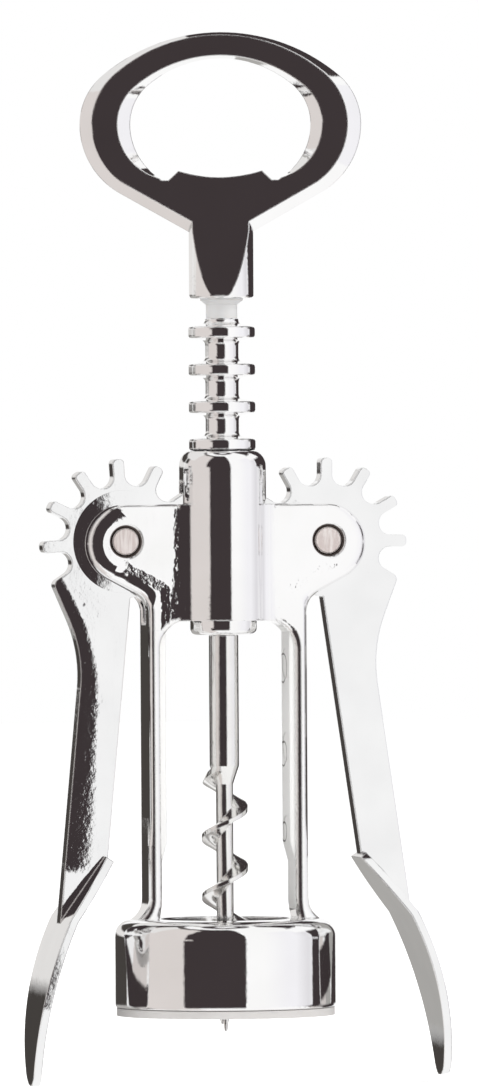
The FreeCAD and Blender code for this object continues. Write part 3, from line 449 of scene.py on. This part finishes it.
# Cards round the object that only its polished metal mirrors, each over the ones before
# it. Angles are counted from the camera round to the right. fromLow and toLow are a
# card's borders as the bell sees them, and arch is how far its top corners sink.
white = (1, 1, 1)
dark = (0.049, 0.039, 0.041)
beige = (0.72, 0.675, 0.655)
cards = {
    "radius": 2.6, "domeTurns": 96, "domeRings": 48,
    "sideSoft": 0.4, "riseSoft": 0.6, "archPower": 6.0,
    "bellWall": (-1.6, -2.8), "bellShoulder": (1.5, 3.0),
    "list": (
        {"from": -174, "to": -104, "low": -40, "high": -7.6, "colour": (0.42, 0.41, 0.395)},
        {"from": -164, "to": -104, "low": -7.6, "high": 60, "colour": (0.06, 0.054, 0.05)},
        {"from": -176, "to": -85, "low": 0.9, "high": 12, "colour": (0.80, 0.785, 0.77)},
        {"from": -125, "to": -121, "low": -30, "high": 60, "colour": (0.9, 0.9, 0.9)},
        {"from": -126, "to": -30, "low": 30, "high": 66, "colour": (0.10, 0.09, 0.085)},
        {"from": -104, "to": -30, "fromLow": -107, "low": -64, "high": 60, "arch": 16,
         "colour": beige},
        {"from": -20, "to": 112, "low": 20, "high": 50, "colour": dark},
        {"from": -125, "to": -95, "low": -44, "high": -28, "colour": dark},
        {"from": 10, "to": 112, "toLow": 102, "low": -40, "high": 60, "arch": 34,
         "colour": white},
        {"from": -34, "to": 21.9, "fromLow": -43.5, "toLow": 21.5, "low": -30, "high": 66,
         "arch": 60, "colour": dark},
        {"from": 55, "to": 100, "low": -30, "high": 40, "soft": 14,
         "colour": (0.93, 0.925, 0.955)},
        {"from": 88, "to": 110, "toLow": 103, "low": -30, "high": 30, "soft": 9,
         "colour": (0.76, 0.75, 0.78)},
        {"from": 112, "to": 162, "fromLow": 102, "low": -30, "high": 72, "colour": dark},
        {"from": 116, "to": 143, "low": -40, "high": -29, "colour": beige},
        {"from": 102, "to": 188, "low": 22, "high": 72, "colour": dark},
        {"from": -172, "to": -88, "low": 28, "high": 62, "colour": (0.80, 0.79, 0.78)},
        {"from": 85, "to": 131, "low": 28, "high": 48, "colour": white},
        {"from": -180, "to": 180, "low": 76, "high": 84, "colour": dark},
    ),
}


def cardShare(tree, turn, rise, card):
    # 1 inside the card, 0 outside, with a soft border
    soft, riseSoft = card.get("soft", cards["sideSoft"]), cards["riseSoft"]
    middle, half = (card["from"] + card["to"]) / 2, (card["to"] - card["from"]) / 2
    if card["to"] > 180:  # the card runs on past the back
        turn = calc(tree, "ADD", turn, times(tree, calc(tree, "LESS_THAN", turn, 0.0), 360.0))
    # the bell's wall mirrors the lowest rises, its shoulder the high ones
    seen = calc(tree, "MAXIMUM", ramp(tree, rise, *cards["bellWall"]),
                ramp(tree, rise, *cards["bellShoulder"]))
    sides = []
    for name in ("from", "to"):
        shift = card.get(name + "Low", card[name]) - card[name]
        sides.append(calc(tree, "SUBTRACT", turn, times(tree, seen, shift)) if shift else turn)
    top = rise
    if "arch" in card:
        out = calc(tree, "DIVIDE", calc(tree, "SUBTRACT", middle, sides[0]), half)
        out = calc(tree, "MAXIMUM", out, calc(
            tree, "DIVIDE", calc(tree, "SUBTRACT", sides[1], middle), half))
        sink = calc(tree, "POWER", calc(tree, "MAXIMUM", out, 0.0), cards["archPower"])
        top = calc(tree, "ADD", rise, times(tree, sink, card["arch"]))
    return times(tree, ramp(tree, sides[0], card["from"] - soft, card["from"] + soft),
                 ramp(tree, sides[1], card["to"] + soft, card["to"] - soft),
                 ramp(tree, top, card["high"] + riseSoft, card["high"] - riseSoft),
                 ramp(tree, rise, card["low"] - riseSoft, card["low"] + riseSoft))


def makeCards():
    mesh = bpy.data.meshes.new("cardDome")
    shape = bmesh.new()
    bmesh.ops.create_uvsphere(shape, u_segments=cards["domeTurns"], v_segments=cards["domeRings"],
                              radius=cards["radius"])
    shape.to_mesh(mesh)
    shape.free()
    mesh.shade_smooth()
    dome = addObject("cardDome", mesh)
    dome.location.z = studio["middle"]
    dome.rotation_euler.z = math.radians(cameraValues["azimuth"])
    material, tree, glow = newMaterial("cardDome", "ShaderNodeEmission")
    axes = axesOf(tree, objectPlace(tree))
    turn = calc(tree, "ARCTAN2", axes["X"], times(tree, axes["Y"], -1.0))
    rise = calc(tree, "ARCSINE", calc(tree, "DIVIDE", axes["Z"], cards["radius"]))
    turn, rise = calc(tree, "DEGREES", turn), calc(tree, "DEGREES", rise)
    colour = white
    for card in cards["list"]:
        colour = blend(tree, cardShare(tree, turn, rise, card), colour, card["colour"])
    setInputs(tree, glow, {"Color": colour, "Strength": 1.0})
    mesh.materials.append(material)
    dome.visible_camera = False
    dome.visible_diffuse = False
    dome.visible_shadow = False
    dome.visible_transmission = False
    dome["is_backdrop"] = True


def makeTable():
    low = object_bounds()[0].z - studio["tableDrop"]
    half = studio["tableSize"] / 2
    corners = [(-half, -half, low), (half, -half, low), (half, half, low), (-half, half, low)]
    mesh = bpy.data.meshes.new("table")
    mesh.from_pydata(corners, [], [(0, 1, 2, 3)])
    table = addObject("table", mesh)
    material, tree, shader = newMaterial("table")
    # seen white, with the object's shadow left in it
    toCamera = addNode(tree, "ShaderNodeLightPath").outputs["Is Camera Ray"]
    setInputs(tree, shader, {
        "Base Color": (*studio["tableColour"], 1), "Roughness": studio["tableRough"],
        "Specular IOR Level": 0.0, "Emission Color": (*white, 1),
        "Emission Strength": times(tree, toCamera, studio["tableGlow"])})
    mesh.materials.append(material)
    table.visible_glossy = False
    table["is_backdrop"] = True


def makeWorld():
    world = bpy.data.worlds.new("studio")
    bpy.context.scene.world = world
    world.use_nodes = True
    tree = world.node_tree
    tree.nodes.clear()
    # white as it is seen, and dimmer as it lights
    path = addNode(tree, "ShaderNodeLightPath").outputs
    seen = calc(tree, "MAXIMUM", path["Is Camera Ray"], path["Is Glossy Ray"])
    seen = calc(tree, "MAXIMUM", seen, path["Is Transmission Ray"])
    strength = ramp(tree, seen, 0.0, 1.0, (studio["worldFill"], 1.0))
    sky = addNode(tree, "ShaderNodeBackground", {"Color": (*white, 1), "Strength": strength})
    addNode(tree, "ShaderNodeOutputWorld", {"Surface": sky.outputs["Background"]})


def makeLamp(name, azimuth, elevation, share):
    data = bpy.data.lights.new(name, "AREA")
    data.shape = "SQUARE"
    data.size = studio["lampSize"]
    data.energy = studio["lampPower"] * share
    lamp = addObject(name, data)
    tilt, reach, middle = math.radians(elevation), studio["lampDistance"], studio["middle"]
    lamp.location = around(cameraValues["azimuth"] + azimuth, reach * math.cos(tilt),
                           middle + reach * math.sin(tilt))
    aimAt(lamp, Vector((0, 0, middle)))
    lamp.visible_glossy = False


makeCards()
makeTable()
makeWorld()
for lampValues in studio["lamps"]:
    makeLamp(*lampValues)
bpy.context.scene.view_settings.view_transform = "Standard"
print("studio built")
